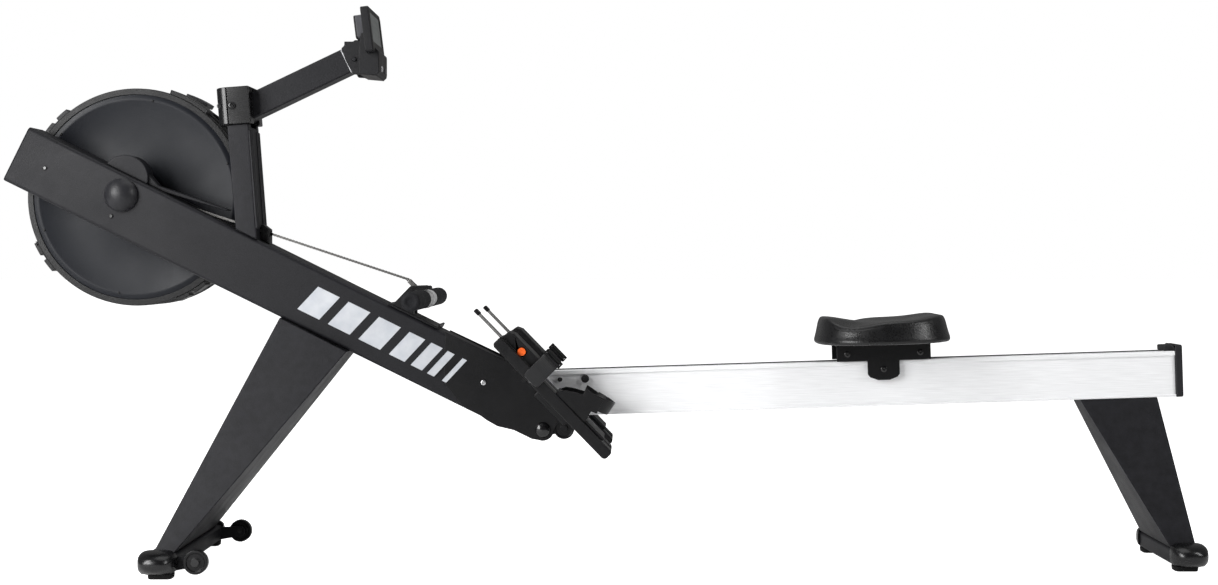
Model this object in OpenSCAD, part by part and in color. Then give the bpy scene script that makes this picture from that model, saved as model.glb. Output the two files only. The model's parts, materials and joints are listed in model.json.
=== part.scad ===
// Air rowing machine: a sloping box beam carries a caged fan, a chain handle,
// a monitor and two footboards; a seat slides on an aluminium rail behind it.
// X runs from the fan to the rear foot, +Y is the rower's right, Z is up.
// The origin is on the floor, in the middle of the machine's length and width.

/* [Main beam] */
// Length of the sloping main beam
beam_length = 1100; // [1060:5:1120]
// Depth of the beam's box section
beam_height = 122; // [116:1:128]
// Width of the beam's box section
beam_width = 90; // [88:1:94]
// Wall thickness of the beam
beam_wall = 3; // [2:0.5:4]
// Slope of the beam below the horizontal
beam_slope = 26.3; // [25.9:0.1:26.6]

/* [Fan] */
// Outer radius of the fan cage
fan_radius = 229; // [224:1:232]
// Depth of the fan cage
fan_depth = 140; // [130:1:150]
// Number of fan blades
blade_count = 20; // [12:1:28]

/* [Rail and seat] */
// Length of the rail extrusion
rail_length = 1363; // [1358:1:1366]
// Height of the rail section
rail_height = 94; // [91:1:96]
// Width of the rail section
rail_width = 70; // [68:1:72]
// Rise of the rail towards the rear
rail_slope = 1.8; // [1.6:0.1:2]
// Length of the seat pad
seat_length = 276; // [260:2:280]
// Width of the seat pad
seat_width = 300; // [280:2:330]

/* [Handle] */
// Full length of the handle
handle_length = 500; // [440:5:540]
// Radius of the foam grips
grip_radius = 19; // [17:0.5:20]

/* [Footboards] */
// Length of each footboard
board_length = 321; // [300:1:330]
// Width of each footboard
board_width = 110; // [104:1:114]
// Distance between the footboards' centre lines
board_spacing = 220; // [216:1:230]
// Slope of the footboards below the horizontal
board_slope = 45.8; // [44:0.1:47]

/* [Monitor] */
// Width of the display
screen_width = 168; // [150:2:180]
// Length of the arm from its pivot
arm_length = 248; // [246:1:249]
// Slope of the arm above the horizontal
arm_slope = 25.6; // [25.3:0.1:25.9]

/* [Feet] */
// Width of the front foot over its end caps
front_foot_width = 480; // [470:5:540]
// Width of the rear foot over its end caps
rear_foot_width = 310; // [280:5:340]
// Radius of the transport wheels
wheel_radius = 24; // [20:1:25]

/* [Hidden] */
$fn = 72;

LEFT = -1;
RIGHT = 1;
running_gap = 0.05;

// Beam frame: u runs down the beam from its nose, v is square to it
nose_x = -1202;
nose_z = 845;
beam_top = beam_height / 2;
beam_side = beam_width / 2;

function beam_x(u, v) = nose_x + u * cos(beam_slope) + v * sin(beam_slope);
function beam_z(u, v) = nose_z - u * sin(beam_slope) + v * cos(beam_slope);
function beam_top_z(x) = beam_z(0, beam_top) - (x - beam_x(0, beam_top)) * tan(beam_slope);
function beam_bottom_z(x) = beam_z(0, -beam_top) - (x - beam_x(0, -beam_top)) * tan(beam_slope);

// Fan axle
axle_u = 230.6;
axle_v = 19.2;
axle_x = beam_x(axle_u, axle_v);
axle_z = beam_z(axle_u, axle_v);
axle_radius = 8;
bearing_radius = 17.5;
bearing_width = 12;
boss_radius = 24;
cage_front = beam_side + 15;
cage_back = cage_front + fan_depth;
cage_wall = 3;
cage_lip = 12;
fan_hole_radius = 104;
damper_boss_radius = 12;

// Chain: two rows of side plates with a gap for the sprocket's teeth
pitch_radius = 18.8;
plate_height = 5.2;
plate_inner = 1.7;
plate_outer = 3.5;
chain_slope = 18.3;
chain_top_x = axle_x + pitch_radius * sin(chain_slope);
chain_top_z = axle_z + pitch_radius * cos(chain_slope);
guide_x = -700;
chain_end_gap = 1;
pulley_u = 1010;
pulley_v = axle_v - 2 * pitch_radius;
chain_end_u = 640;
cord_radius = 3;
cord_bend = 9;
cord_stud_u = 120;
cord_end_u = 920;
stud_radius = 5.5;

function chain_z(x) = chain_top_z - (x - chain_top_x) * tan(chain_slope);

// Monitor post and arm
post_x = -729;
post_lean = 4.4;
post_top = 906;
post_length = 44;
post_width = 100;
cap_x0 = -790;
cap_x1 = -720;
cap_z0 = 905.5;
cap_z1 = 982;
cap_width = 116;
cap_roof = 3;
pivot_x = -757;
pivot_z = 943.5;
pivot_radius = 5;
arm_width = 50;
arm_height = 52;
arm_drop = 13;
tilt_x = -508;
tilt_z = 1040;
tilt_radius = 4;
screen_x = -463;
screen_z = 1052;
screen_lean = 7;
screen_height = 94;
screen_depth = 16;
button_radius = 6;
button_z = 30;

// Handle and its cradle
handle_x = -366;
handle_z = 546;
sleeve_radius = 17.5;
sleeve_half = 60;
bar_radius = 11;
yoke_angle = 130;
hook_inner = 15;
hook_outer = 50;
swivel_x = -404;

// Rail frame: x runs along the rail from its front end, z is square to it
rail_x = -175;
rail_z = 302;
rail_lip = 9;
rail_web_half = rail_width / 2 - 4;
seat_mid = 761;
roller_radius = 15;
roller_pitch = 150;
guide_roller_radius = 8;
guide_roller_x = seat_mid - 1;
carriage_top = 130;

// Footboard frame: x runs down the board, z is square to it
plate_thick = 4;
board_x = -215;
board_z = 458;
board_thick = 23.4;
strip_thick = 5;
strip_half = 12;
strip_out = 73;
button_u = 51;
button_n = 32;
strap_base = 24;
heel_start = 158;
lug_y = board_spacing / 2 - beam_side - plate_thick;

// Feet
foot_length = 75;
rear_foot_length = 74;
foot_height = 35;
pad_height = 10;
foot_mid_x = -870;
rear_foot_mid_x = 1187;
wheel_x = -795;
wheel_z = 32;
wheel_y = 196;
wheel_width = 14;

// Lower joint between beam and rail
hook_x = -119.5;
hook_z = 278;
hook_radius = 8;
storage_x = -76;
storage_z = 279;
storage_radius = 21;
dome_radius = 16;

module beam_frame() translate([nose_x, 0, nose_z]) rotate([0, beam_slope, 0]) children();
module axle_frame() translate([axle_x, 0, axle_z]) children();
module rail_frame() translate([rail_x, 0, rail_z]) rotate([0, -rail_slope, 0]) children();
module arm_frame() translate([pivot_x, 0, pivot_z]) rotate([0, -arm_slope, 0]) children();
module screen_frame() translate([screen_x, 0, screen_z]) rotate([0, -screen_lean, 0]) children();
module board_frame(side) {
    translate([board_x, side * board_spacing / 2, board_z]) rotate([0, board_slope, 0]) children();
}

// A side view in X and Z, made thick from y0 to y1
module side_view(y0, y1) translate([0, y1, 0]) rotate([90, 0, 0]) linear_extrude(y1 - y0) children();

// A front view in Y and Z, made thick from x0 to x1
module front_view(x0, x1) translate([x0, 0, 0]) rotate([90, 0, 90]) linear_extrude(x1 - x0) children();

// A round rod along Y
module rod(r, y0, y1) translate([0, y0, 0]) rotate([-90, 0, 0]) cylinder(r = r, h = y1 - y0);

// A profile of radius and height, turned about Y
module lathe() rotate([-90, 0, 0]) rotate_extrude() children();

module ring(r_out, r_in, y0, y1) difference() {
    rod(r_out, y0, y1);
    rod(r_in, y0 - 1, y1 + 1);
}

// A stretch of ring from angle a0 to a1, counted from +X towards +Z
module ring_sector(r_in, r_out, y0, y1, a0, a1) {
    translate([0, y1, 0]) rotate([90, 0, 0]) rotate([0, 0, a0])
        rotate_extrude(angle = a1 - a0) translate([r_in, 0]) square([r_out - r_in, y1 - y0]);
}

module rounded_rect(w, h, r) {
    square([w - 2 * r, h], center = true);
    square([w, h - 2 * r], center = true);
    for (sx = [-1, 1], sy = [-1, 1]) {
        translate([sx * (w / 2 - r), sy * (h / 2 - r)]) circle(r = r);
    }
}

module both_sides() {
    children();
    mirror([0, 1, 0]) children();
}

// ---------------------------------------------------------------- frame

module main_beam() color("#37373c") {
    difference() {
        union() {
            beam_frame() front_view(0, beam_length) difference() {
                rounded_rect(beam_width, beam_height, 8);
                rounded_rect(beam_width - 2 * beam_wall, beam_height - 2 * beam_wall, 5);
            }
            axle_frame() both_sides() rod(boss_radius, -beam_side + 1, -beam_side + 15);
            beam_frame() translate([cord_stud_u, 0, pulley_v - pitch_radius + cord_bend])
                rod(stud_radius, -beam_side + 1, beam_side - 1);
            beam_frame() translate([cord_end_u, 0, pulley_v - pitch_radius + 2 * cord_bend])
                rod(stud_radius, -beam_side + 1, beam_side - 1);
            beam_frame() translate([pulley_u, 0, pulley_v])
                rod(stud_radius, -beam_side + 1, beam_side - 1);
        }
        axle_frame() rod(bearing_radius, -beam_side - 1, beam_side + 1);
        beam_frame() translate([350, -8, beam_top - 8]) cube([116, 16, 20]);
    }
}

module beam_end_cap() color("#5c5d63") {
    beam_frame() {
        front_view(-2, 0) rounded_rect(beam_width, beam_height, 8);
        front_view(0, 14) difference() {
            rounded_rect(beam_width - 2 * beam_wall - 0.2, beam_height - 2 * beam_wall - 0.2, 5);
            rounded_rect(beam_width - 2 * beam_wall - 6, beam_height - 2 * beam_wall - 6, 3);
        }
    }
}

// Steel cheeks that carry the rail's hook pin below the beam
module side_plate_outline() {
    polygon([
        [-322, 373], [-284, 326], [-255, 312], [-234, 297], [-213, 285], [-179, 277],
        [-142, 259], [hook_x, hook_z - 23], [hook_x + 23, hook_z], [-78, 310], [-190, 418],
        [-214, 429], [-320, 479]
    ]);
    translate([hook_x, hook_z]) circle(r = 23);
}

module side_plates() color("#1d1d20") {
    both_sides() difference() {
        side_view(-beam_side - plate_thick, -beam_side) side_plate_outline();
        translate([hook_x, 0, hook_z]) rod(hook_radius, -beam_side - 9, -beam_side + 1);
    }
}

// The leg is a tapered tube, open into the beam and into the foot
module leg(top, bottom, top_half, bottom_half, wall) {
    z_top = max(top[0][1], top[1][1]);
    module outline(inset, over) {
        intersection() {
            side_view(-bottom_half - 1, bottom_half + 1) polygon([
                [top[0][0] + inset, top[0][1] + over], [top[1][0] - inset, top[1][1] + over],
                [bottom[1][0] - inset, bottom[1][1] - over], [bottom[0][0] + inset, bottom[0][1] - over]
            ]);
            front_view(-2000, 2000) polygon([
                [-top_half + inset, z_top + over], [top_half - inset, z_top + over],
                [bottom_half - inset, bottom[0][1] - over], [-bottom_half + inset, bottom[0][1] - over]
            ]);
        }
    }
    difference() {
        outline(0, 0);
        outline(wall, 1);
    }
}

module front_leg() color("#2e2e33") {
    leg([[-659, beam_bottom_z(-659)], [-519, beam_bottom_z(-519)]],
        [[-887, pad_height + foot_height], [-845, pad_height + foot_height]], 55, 172, 3);
}

module rear_leg() color("#2b2b2f") {
    leg([[989, rail_bottom_z(989)], [1149, rail_bottom_z(1149)]],
        [[1154, pad_height + foot_height], [1206, pad_height + foot_height]], 33, 105, 3);
}

function rail_bottom_z(x) = rail_z + (x - rail_x) * tan(rail_slope);

module crossbar(mid_x, length, width) {
    translate([mid_x, 0, pad_height + foot_height / 2]) rotate([90, 0, 0])
        linear_extrude(width - 60, center = true) difference() {
            rounded_rect(length - 8, foot_height, 8);
            rounded_rect(length - 14, foot_height - 6, 5);
        }
}

module front_foot() color("#2e2e33") {
    crossbar(foot_mid_x, foot_length, front_foot_width);
    // Ears for the transport wheels
    ear_y = wheel_width / 2 + 0.5 - wheel_y;
    both_sides() difference() {
        hull() {
            translate([wheel_x, 0, wheel_z]) rod(11, ear_y, ear_y + 5);
            translate([foot_mid_x + foot_length / 2 - 8, ear_y, 14]) cube([4, 5, 27]);
        }
        translate([wheel_x, 0, wheel_z]) rod(pivot_radius, ear_y - 1, ear_y + 6);
    }
}

module rear_foot() color("#2b2b2f") crossbar(rear_foot_mid_x, rear_foot_length, rear_foot_width);

// A moulded end cap: bulbous, with its underside rising towards the outer end
module foot_cap(mid_x, length, width) {
    difference() {
        hull() {
            translate([mid_x, -width / 2 + 47, pad_height + 20]) cube([length, 2, 38], center = true);
            for (sx = [-1, 1]) {
                translate([mid_x + sx * (length / 2 - 17), -width / 2 + 19, pad_height + 20])
                    sphere(r = 18.5, $fn = 24);
            }
        }
        translate([mid_x, -width / 2 + 40, pad_height + foot_height / 2])
            cube([length - 7.5, 20, foot_height + 0.5], center = true);
    }
}

module foot_end_caps() color("#151517") both_sides() {
    foot_cap(foot_mid_x, foot_length, front_foot_width);
    foot_cap(rear_foot_mid_x, rear_foot_length, rear_foot_width);
}

module foot_pads() color("#232325") both_sides() {
    for (foot = [[foot_mid_x + 6, front_foot_width], [rear_foot_mid_x - 6, rear_foot_width]]) {
        translate([foot[0], -foot[1] / 2 + 46, 0])
            linear_extrude(pad_height, scale = 1.06) rounded_rect(46, 34, 8);
    }
}

module transport_wheel(side) color("#19191b") {
    translate([wheel_x, side * wheel_y, wheel_z]) {
        difference() {
            rod(wheel_radius, -wheel_width / 2, wheel_width / 2);
            ring(wheel_radius - 6, 9, -wheel_width / 2 - 1, -wheel_width / 2 + 2);
            ring(wheel_radius - 6, 9, wheel_width / 2 - 2, wheel_width / 2 + 1);
            rod(pivot_radius + running_gap, -wheel_width, wheel_width);
        }
    }
}

module wheel_left() transport_wheel(LEFT);
module wheel_right() transport_wheel(RIGHT);

// ---------------------------------------------------------------- monitor post

function cap_bottom_z(x) = pivot_z + (cap_z0 - pivot_z) / cos(post_lean) + (x - pivot_x) * tan(post_lean);

module post_outline(inset) {
    top_x = post_x - (post_top - beam_top_z(post_x)) * tan(post_lean);
    half = post_length / 2 - inset;
    polygon([
        [post_x - half, beam_top_z(post_x - half) - inset * 2],
        [post_x + half, beam_top_z(post_x + half) - inset * 2],
        [top_x + half, cap_bottom_z(top_x + half) + inset], [top_x - half, cap_bottom_z(top_x - half) + inset]
    ]);
}

module monitor_post() color("#333338") {
    difference() {
        side_view(-post_width / 2, post_width / 2) post_outline(0);
        side_view(-post_width / 2 + 3, post_width / 2 - 3) post_outline(3);
        // Notch under the arm
        translate([post_x - 60, -arm_width / 2 - 0.6, 901]) cube([100, arm_width + 1.2, 20]);
        // Way for the chain through both walls
        translate([post_x, 0, chain_z(post_x)]) rotate([0, chain_slope, 0])
            cube([80, 16, 15], center = true);
    }
}

module post_cap() color("#0f0f11") translate([pivot_x, 0, pivot_z]) rotate([0, -post_lean, 0]) {
    translate([-pivot_x, 0, -pivot_z]) difference() {
        union() {
            translate([(cap_x0 + cap_x1) / 2 + 12, 0, cap_z0])
                linear_extrude(cap_z1 - cap_z0) {
                    square([cap_x1 - cap_x0 - 24, cap_width], center = true);
                }
            translate([cap_x0 + 25, 0, cap_z0]) linear_extrude(cap_z1 - cap_z0) {
                square([50, cap_width - 50], center = true);
                for (sy = [-1, 1]) translate([0, sy * (cap_width / 2 - 25)]) circle(r = 25);
            }
        }
        // Slot for the arm
        translate([pivot_x - 22, -arm_width / 2 - 0.6, cap_z0 - 1])
            cube([80, arm_width + 1.2, cap_z1 - cap_z0 - cap_roof + 1]);
        translate([pivot_x, 0, pivot_z]) rod(pivot_radius, -cap_width, cap_width);
    }
}

module chain_guide() color("#2a2a2d") {
    difference() {
        side_view(-14, 14) polygon([
            [guide_x - 6, beam_top_z(guide_x - 6)], [guide_x + 12, beam_top_z(guide_x + 12)],
            [guide_x + 12, 690], [guide_x - 1, 700], [guide_x - 6, 700]
        ]);
        translate([guide_x, 0, chain_z(guide_x)]) rotate([0, chain_slope, 0])
            cube([80, 10, 9], center = true);
    }
}

module sprocket_cover() color("#3a3a3f") {
    difference() {
        beam_frame() {
            intersection() {
                translate([215, 0, 52]) rod(48, -22, 22);
                translate([150, -30, beam_top]) cube([120, 60, 60]);
            }
            side_view(-15, 15) polygon([
                [255, beam_top], [300, beam_top], [434, 84], [434, 88], [282, 68], [255, 80]
            ]);
        }
        // Hollow inside
        beam_frame() intersection() {
            translate([215, 0, 52]) rod(45, -19, 19);
            translate([150, -30, beam_top - 1]) cube([120, 60, 60]);
        }
    }
}

// ---------------------------------------------------------------- fan

module axle_cap() color("#4c4c52") {
    axle_frame() translate([0, -beam_side, 0]) difference() {
        union() {
            ring(34, 20, -6, 0);
            translate([0, -6, 0]) rotate([90, 0, 0]) rotate_extrude() {
                intersection() {
                    translate([0, -23]) circle(r = 41);
                    square([34, 30]);
                }
            }
        }
        rod(20, -10, 1);
    }
}

module axle_bearings() color("#a8a9ad") axle_frame() both_sides() {
    ring(bearing_radius, axle_radius + running_gap, -beam_side + 2, -beam_side + 2 + bearing_width);
}

module fan_front_cover() color("#55565c") {
    axle_frame() {
        difference() {
            union() {
                rod(fan_radius - cage_lip, cage_front + 1, cage_front + 4);
                for (a = [30, 150, 205, 335]) {
                    translate([44 * cos(a - beam_slope), 0, 44 * sin(a - beam_slope)])
                        rod(8, beam_side, cage_front + 2);
                }
            }
            rod(22, 0, cage_back);
        }
    }
}

module fan_rim() color("#1c1c1f") {
    axle_frame() difference() {
        union() {
            ring(fan_radius, fan_radius - cage_wall, cage_front, cage_back);
            ring(fan_radius, fan_radius - cage_lip, cage_front, cage_front + 3);
            for (y = [cage_front + 44, cage_front + 58, cage_back - 8]) {
                ring(fan_radius + 2, fan_radius - 1, y, y + 4);
            }
        }
        // Outlet slots around the far half of the rim
        for (i = [0:35]) rotate([0, i * 10, 0]) {
            translate([fan_radius - 10, cage_back - 66, -14]) cube([20, 50, 28]);
        }
    }
}

module fan_grille() color("#26262a") {
    axle_frame() {
        difference() {
            union() {
                ring(fan_hole_radius, damper_boss_radius, cage_back - 3, cage_back);
                for (r = [132, 160, 188]) ring(r + 2, r - 2, cage_back - 3, cage_back);
                ring(fan_radius - cage_wall, fan_radius - cage_lip, cage_back - 3, cage_back);
                for (i = [0:17]) rotate([0, i * 20, 0]) {
                    translate([100, cage_back - 3, -2]) cube([fan_radius - cage_lip - 98, 3, 4]);
                }
            }
            for (i = [0:5]) rotate([0, i * 60, 0]) {
                ring_sector(40, 90, cage_back - 4, cage_back + 1, -14, 14);
            }
        }
        rod(damper_boss_radius, cage_back - 10, cage_back + 6);
        rod(damper_boss_radius + 6, cage_back + 4, cage_back + 8);
    }
}

module rim_clips() color("#18181a") axle_frame() {
    // The damper's scale block
    ring_sector(fan_radius + 0.1, fan_radius + 10, cage_front + 2, cage_front + 42, 50, 72);
    // Cage clips, each with a notch in the middle
    for (a = [137, 213, 300]) {
        ring_sector(fan_radius + 0.1, fan_radius + 3, cage_front + 2, cage_front + 42, a - 9, a + 9);
        ring_sector(fan_radius + 2, fan_radius + 9, cage_front + 2, cage_front + 42, a - 8.5, a - 1.5);
        ring_sector(fan_radius + 2, fan_radius + 9, cage_front + 2, cage_front + 42, a + 1.5, a + 8.5);
    }
}

module flywheel() color("#7d7f84") axle_frame() {
    difference() {
        union() {
            rod(30, cage_front + 12, cage_back - 18);
            rod(205, cage_front + 24, cage_front + 28);
            ring(208, 202, cage_front + 24, cage_back - 18);
            for (i = [0:blade_count - 1]) rotate([0, i * 360 / blade_count, 0]) {
                translate([96, cage_front + 26, 0]) rotate([0, 24, 0])
                    cube([108, fan_depth - 46, 2]);
            }
        }
        rod(axle_radius, 0, cage_back);
    }
}

module flywheel_axle() color("#b4b5b8") axle_frame() {
    rod(axle_radius, -beam_side + 1, cage_back - 12);
    rod(13, cage_back - 18, cage_back - 13);
}

module sprocket() color("#8f9094") axle_frame() difference() {
    union() {
        rod(13, -14, 14);
        rotate([90, 0, 0]) linear_extrude(3, center = true) difference() {
            circle(r = pitch_radius + 1.8);
            for (i = [0:17]) rotate(i * 20) translate([pitch_radius, 0]) circle(r = 2.1, $fn = 24);
        }
    }
    rod(axle_radius + running_gap, -20, 20);
}

// ---------------------------------------------------------------- chain drive

module chain_run(length) {
    for (y = [-plate_outer, plate_inner]) {
        translate([0, y, -plate_height / 2]) cube([length, plate_outer - plate_inner, plate_height]);
    }
    for (x = [20:40:length - 4]) translate([x, 0, 0]) rod(1.6, -plate_inner, plate_inner);
}

module chain_wrap(a0, a1) {
    for (y = [-plate_outer, plate_inner]) {
        ring_sector(pitch_radius - plate_height / 2, pitch_radius + plate_height / 2,
                    y, y + plate_outer - plate_inner, a0, a1);
    }
}

module inner_chain() color("#b9b9bb") {
    axle_frame() chain_wrap(90 - chain_slope, 270 - beam_slope);
    translate([chain_top_x, 0, chain_top_z]) rotate([0, chain_slope, 0])
        chain_run((guide_x + 14 - chain_top_x) / cos(chain_slope) - 0.3);
    beam_frame() {
        translate([axle_u, 0, axle_v - pitch_radius]) chain_run(pulley_u - axle_u);
        translate([pulley_u, 0, pulley_v]) chain_wrap(-90, 90);
        translate([chain_end_u, 0, pulley_v - pitch_radius]) chain_run(pulley_u - chain_end_u);
        translate([chain_end_u - 10, 0, pulley_v - pitch_radius]) rotate([0, 90, 0]) cylinder(r = 5, h = 14);
    }
}

module elastic_cord() color("#232326") beam_frame() {
    low_v = pulley_v - pitch_radius;
    translate([cord_stud_u, 0, low_v]) rotate([0, 90, 0])
        cylinder(r = cord_radius, h = chain_end_u - 10 - cord_stud_u);
    translate([cord_stud_u, 0, low_v + cord_bend]) rotate([90, 0, 0]) rotate([0, 0, 90])
        rotate_extrude(angle = 180) translate([cord_bend, 0]) circle(r = cord_radius, $fn = 24);
    translate([cord_stud_u, 0, low_v + 2 * cord_bend]) rotate([0, 90, 0])
        cylinder(r = cord_radius, h = cord_end_u - cord_stud_u - stud_radius);
}

module return_pulley() color("#2a2a2c") beam_frame() translate([pulley_u, 0, pulley_v]) {
    difference() {
        union() {
            rod(pitch_radius - plate_height / 2 - 0.4, -plate_outer - 0.3, plate_outer + 0.3);
            both_sides() rod(pitch_radius + 3, -plate_outer - 2.3, -plate_outer - 0.3);
        }
        rod(stud_radius + running_gap, -20, 20);
    }
}

module drive_chain() color("#a9a9ab") {
    translate([guide_x + 14, 0, chain_z(guide_x + 14)]) rotate([0, chain_slope, 0])
        chain_run((swivel_x - guide_x - 14) / cos(chain_slope) - chain_end_gap);
}

// A bent hook that the handle's sleeve hangs in, webbed behind the sleeve
module hook_outline(end_x) polygon([
    [-430, beam_top_z(-430) + 2], [-392, 573], [end_x - 3, 574], [end_x, 572], [end_x, 566],
    [end_x - 4, 566], [end_x - 4, 569], [-386, 569], [-386, beam_top_z(-386) + 2]
]);

module handle_cradle() color("#161618") {
    base_u = 822;
    beam_frame() {
        translate([base_u, -hook_outer, beam_top]) cube([115, 2 * hook_outer, 4]);
        translate([base_u + 111, -hook_outer, beam_top]) cube([4, 2 * hook_outer, 10]);
    }
    side_view(-hook_outer + 1, -hook_inner) hook_outline(-350);
    side_view(hook_inner, hook_inner + 15) hook_outline(-362);
}

module handle_bar() color("#bcbdbf") translate([handle_x, 0, handle_z]) {
    rod(bar_radius, -handle_length / 2 + 10, handle_length / 2 - 10);
    rod(sleeve_radius, -sleeve_half, sleeve_half);
}

module grip(side) color("#2b2c30") translate([handle_x, 0, handle_z]) {
    start = sleeve_half;
    end = handle_length / 2;
    scale([1, side, 1]) lathe() difference() {
        union() {
            translate([0, start]) square([grip_radius, end - start - 5]);
            translate([0, start]) square([grip_radius - 5, end - start]);
            translate([grip_radius - 5, end - 5]) circle(r = 5);
        }
        translate([-1, start - 1]) square([bar_radius + 1, end - start - 9]);
    }
}

module grip_left() grip(LEFT);
module grip_right() grip(RIGHT);

module handle_yoke() color("#b4b5b7") translate([handle_x, 0, handle_z]) difference() {
    union() {
        ring(sleeve_radius + 2.5, sleeve_radius, -8, 8);
        rotate([0, -yoke_angle, 0]) translate([sleeve_radius + 1, -4, -5]) cube([18, 8, 10]);
    }
    rotate([0, -yoke_angle, 0]) translate([31, 0, 0]) rod(2.5, -5, 5);
}

// Clevis on the yoke's pin, ending in the chain's last link
module chain_swivel() color("#c4c5c8") {
    eye_x = handle_x + 31 * cos(yoke_angle);
    eye_z = handle_z + 31 * sin(yoke_angle);
    rise = chain_z(swivel_x) - eye_z;
    run = swivel_x - eye_x;
    reach = norm([run, rise]);
    translate([eye_x, 0, eye_z]) rotate([0, -atan2(rise, run), 0]) {
        both_sides() translate([-4.5, -7, -4.5]) cube([reach - 2, 2.6, 9]);
        translate([reach - 8, -7, -4.5]) cube([3, 14, 9]);
        translate([reach - 8, 0, 0]) rotate([0, 90, 0]) cylinder(r = 3.5, h = 8);
        rod(2.5, -7, 7);
    }
}

// ---------------------------------------------------------------- monitor

module monitor_arm() color("#2b2b30") {
    difference() {
        union() {
            arm_frame() front_view(-14, arm_length) translate([0, -arm_drop]) difference() {
                rounded_rect(arm_width, arm_height, 4);
                rounded_rect(arm_width - 5, arm_height - 5, 2);
            }
            // End plug with a lug for the monitor's hinge
            arm_frame() translate([arm_length - 10, 0, -arm_drop])
                cube([16, arm_width - 5, arm_height - 5], center = true);
            hull() {
                translate([tilt_x, 0, tilt_z]) rod(11, -12, 12);
                arm_frame() translate([arm_length - 4, -12, -arm_drop - 14]) cube([3, 24, 30]);
            }
            translate([tilt_x, 0, tilt_z]) rod(tilt_radius, -44, 44);
        }
        translate([pivot_x, 0, pivot_z]) rod(pivot_radius + running_gap, -cap_width, cap_width);
    }
}

module monitor_case() color("#202024") {
    difference() {
        union() {
            // Lower housing
            side_view(-58, 58) polygon([
                [-496, 1009], [-460, 1006], [-455, 1011], [-456, 1056], [-464, 1064], [-482, 1092],
                [-492, 1092], [-496, 1060]
            ]);
            // Cheeks on each side of the arm
            both_sides() side_view(-40, -27) {
                translate([tilt_x, tilt_z]) circle(r = 17);
                polygon([
                    [-511, 1010], [-490, 1009], [-490, 1080], [-507, 1080], [-511, 1077], [-529, 1077],
                    [-529, 1069], [-535, 1063], [-527, 1040]
                ]);
            }
            // Display and its back
            screen_frame() {
                front_view(-screen_depth, 0) translate([0, screen_height / 2])
                    rounded_rect(screen_width, screen_height, 7);
                front_view(-screen_depth - 20, -screen_depth) translate([0, 58])
                    rounded_rect(screen_width - 60, 48, 6);
            }
        }
        translate([tilt_x, 0, tilt_z]) rod(tilt_radius + running_gap, -60, 60);
        // Recess for the screen, and wells for the buttons
        screen_frame() front_view(-2.5, 1) translate([0, 54]) rounded_rect(132, 60, 3);
        for (y = [-20, 20]) translate([-472, y, screen_z - button_z]) rotate([0, 90, 0])
            cylinder(r = button_radius + 0.4, h = 30);
    }
}

module monitor_screen() color("#8d958c") {
    screen_frame() front_view(-2.5, -1) translate([0, 54]) rounded_rect(132, 60, 3);
}

module push_button(y) translate([-467, y, screen_z - button_z]) rotate([0, 90, 0]) {
    cylinder(r = button_radius, h = 14.5);
}

module menu_button() color("#7b7c80") push_button(-20);
module power_button() color("#3c3c40") push_button(20);

// ---------------------------------------------------------------- rail and seat

module rail() color("#e6e7e9") rail_frame() front_view(0, rail_length) difference() {
    translate([0, rail_height / 2]) rounded_rect(rail_width, rail_height, 2);
    for (sy = [-1, 1]) translate([sy * rail_width / 2, rail_height / 2 - 2])
        square([8, rail_height - rail_lip - 5], center = true);
    translate([0, rail_height / 2]) rounded_rect(2 * rail_web_half - 6, rail_height - 10, 2);
}

module rail_end_cap() color("#3a3b40") rail_frame() {
    cap_h = rail_height + 14;
    front_view(rail_length, rail_length + 15) translate([0, cap_h / 2 - 1])
        rounded_rect(rail_width + 4, cap_h, 5);
    translate([rail_length - 19, 0, rail_height]) front_view(0, 21) translate([0, 6])
        rounded_rect(rail_width - 18, 12, 3);
}

module rail_saddle() color("#1a1a1c") difference() {
    union() {
        rail_frame() translate([4, -33, -5]) cube([122, 66, 5]);
        both_sides() side_view(-19, -13) polygon([
            [-168, 300], [-60, 303], [storage_x + 9, 272], [storage_x - 9, 268],
            [hook_x + 14, 264], [hook_x - 14, 264], [-168, 290]
        ]);
    }
    translate([hook_x, 0, hook_z]) rod(hook_radius, -30, 30);
    translate([storage_x, 0, storage_z]) rod(pivot_radius + running_gap, -30, 30);
}

module storage_rollers() color("#141415") translate([storage_x, 0, storage_z]) {
    both_sides() difference() {
        rod(storage_radius, -43, -21);
        ring(storage_radius - 4, 8, -44, -40);
    }
    rod(pivot_radius, -22, 22);
}

module seat_pad() color("#1a1a1c") rail_frame() {
    translate([seat_mid + 2, 0, carriage_top]) difference() {
        hull() {
            for (sx = [-1, 1], sy = [-1, 1]) {
                translate([sx * (seat_length / 2 - 75), sy * (seat_width / 2 - 75), 0])
                    cylinder(r1 = 75, r2 = 66, h = 54, $fn = 40);
            }
        }
        translate([-14, 0, 345]) rotate([90, 0, 0]) cylinder(r = 300, h = 400, center = true);
    }
}

module seat_carriage() color("#141416") rail_frame() difference() {
    union() {
        translate([seat_mid - 97, -46, carriage_top - 5]) cube([194, 92, 5]);
        both_sides() {
            translate([seat_mid - 97, -45, rail_height]) cube([194, 4, carriage_top - rail_height - 4]);
            // Tab that carries a guide roller below the rail's lip
            side_view(-45, -41) polygon([
                [guide_roller_x - 33, rail_height + 4], [guide_roller_x + 33, rail_height + 4],
                [guide_roller_x + 33, 66], [guide_roller_x + 28, 60], [guide_roller_x + 12, 54],
                [guide_roller_x - 12, 54], [guide_roller_x - 28, 60], [guide_roller_x - 33, 66]
            ]);
            translate([guide_roller_x, 0, rail_height - rail_lip - guide_roller_radius - 0.6])
                rod(3.5, -44, -32.5);
        }
    }
    for (sx = [-1, 1]) translate([seat_mid + sx * roller_pitch / 2, 0, rail_height + roller_radius])
        rod(pivot_radius + running_gap, -60, 60);
}

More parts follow.
